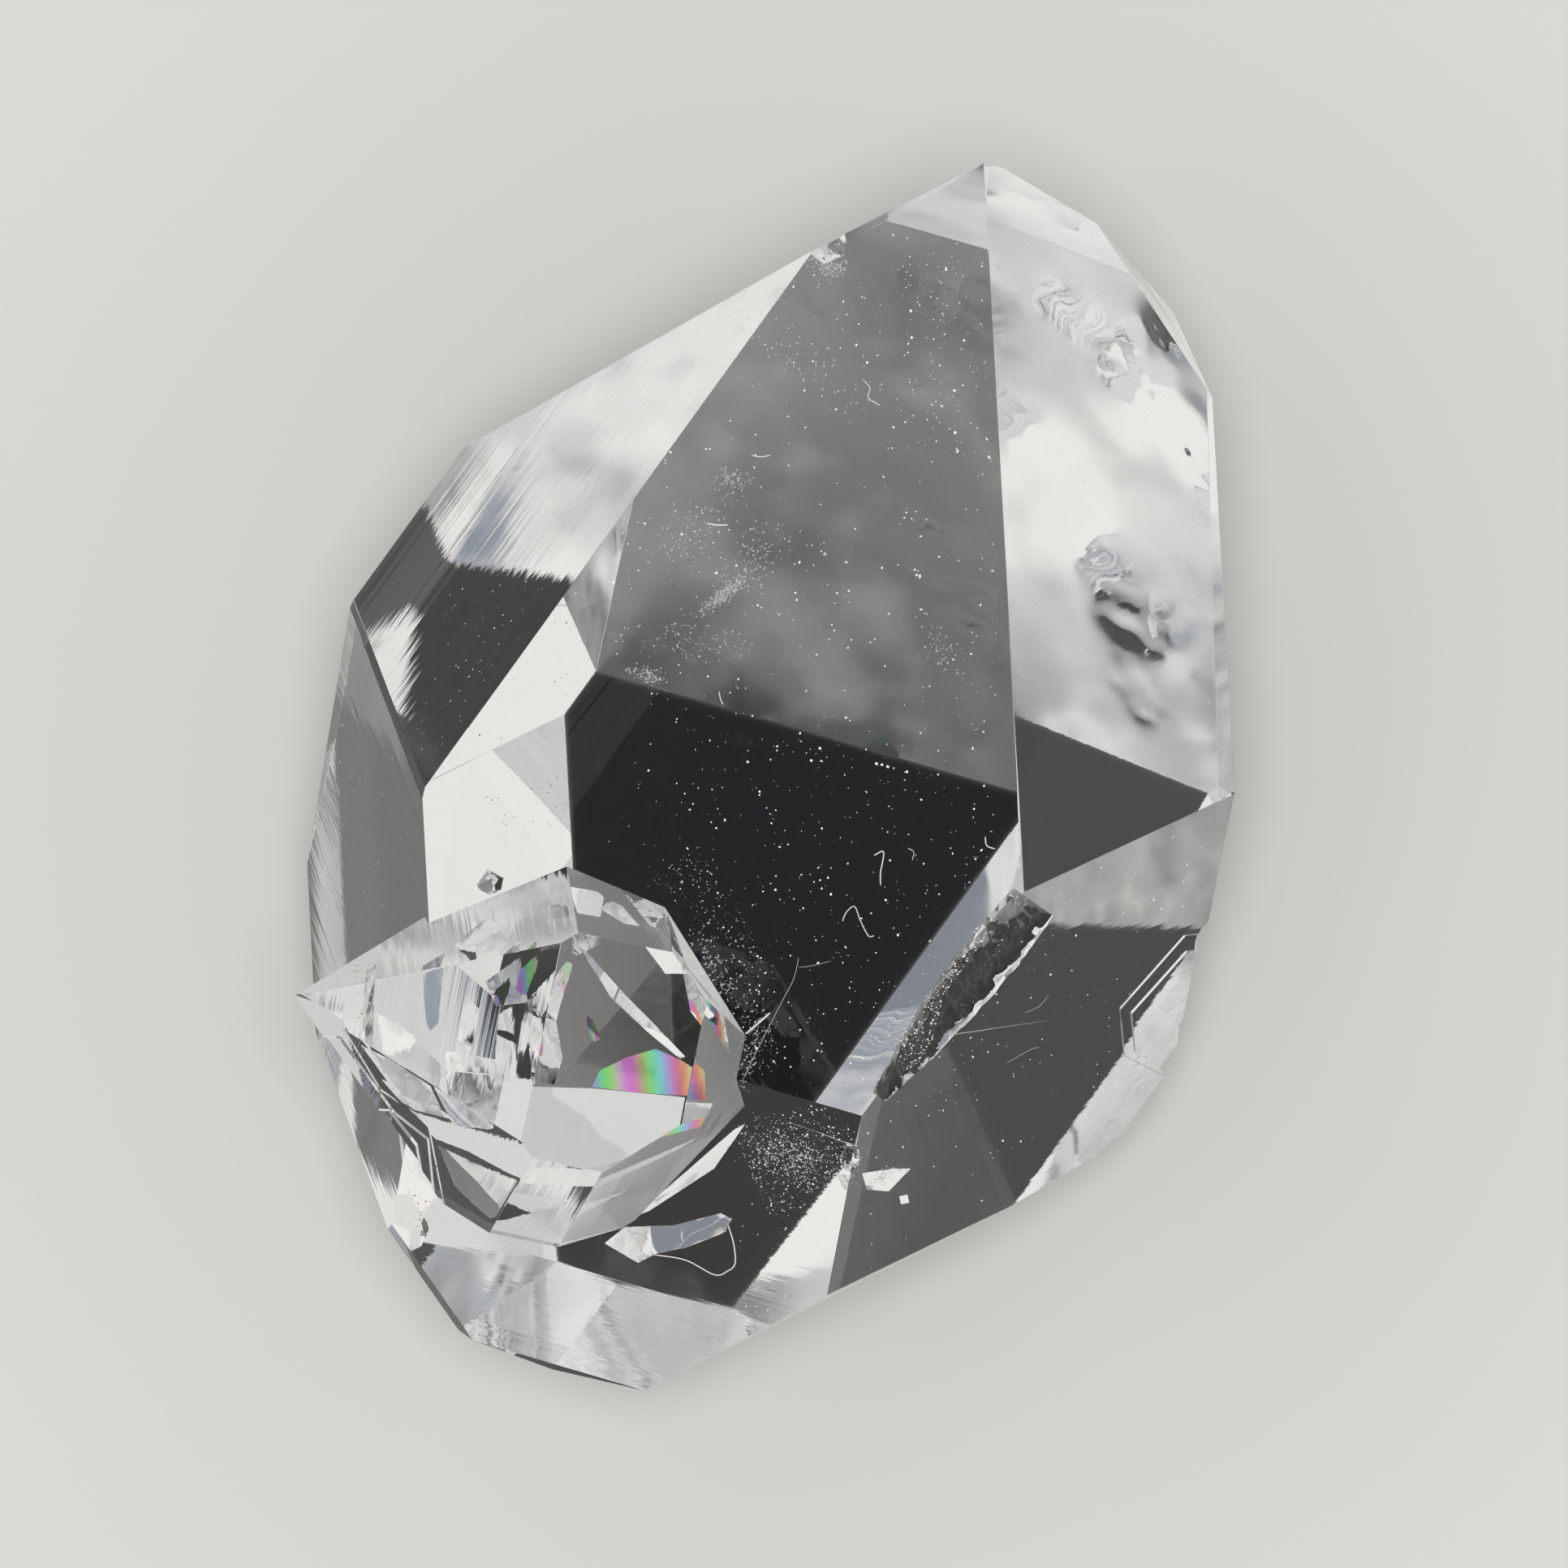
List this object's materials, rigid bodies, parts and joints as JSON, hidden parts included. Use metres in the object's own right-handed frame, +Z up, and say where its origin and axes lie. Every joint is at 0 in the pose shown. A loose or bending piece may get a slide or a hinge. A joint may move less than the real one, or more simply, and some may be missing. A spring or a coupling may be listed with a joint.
{
  "type": "herkimer diamond",
  "caption": "Clear doubly terminated quartz crystal with a smaller crystal grown into its side, lying on a flat crystal face.",
  "frame": {"origin": "middle of the bounding box, on the surface that the crystal lies on", "axes": "+Z up, out of the large level face; +Y along the length, towards the long point; the smaller crystal is on the -X side"},
  "size_m": [0.0114, 0.0142, 0.0095],
  "materials": {
    "clear_quartz": "clear, glassy natural faces with fine growth lines and small chips"
  },
  "bodies": {
    "root": {"quartz_crystal": "clear_quartz"}
  },
  "joints": []
}
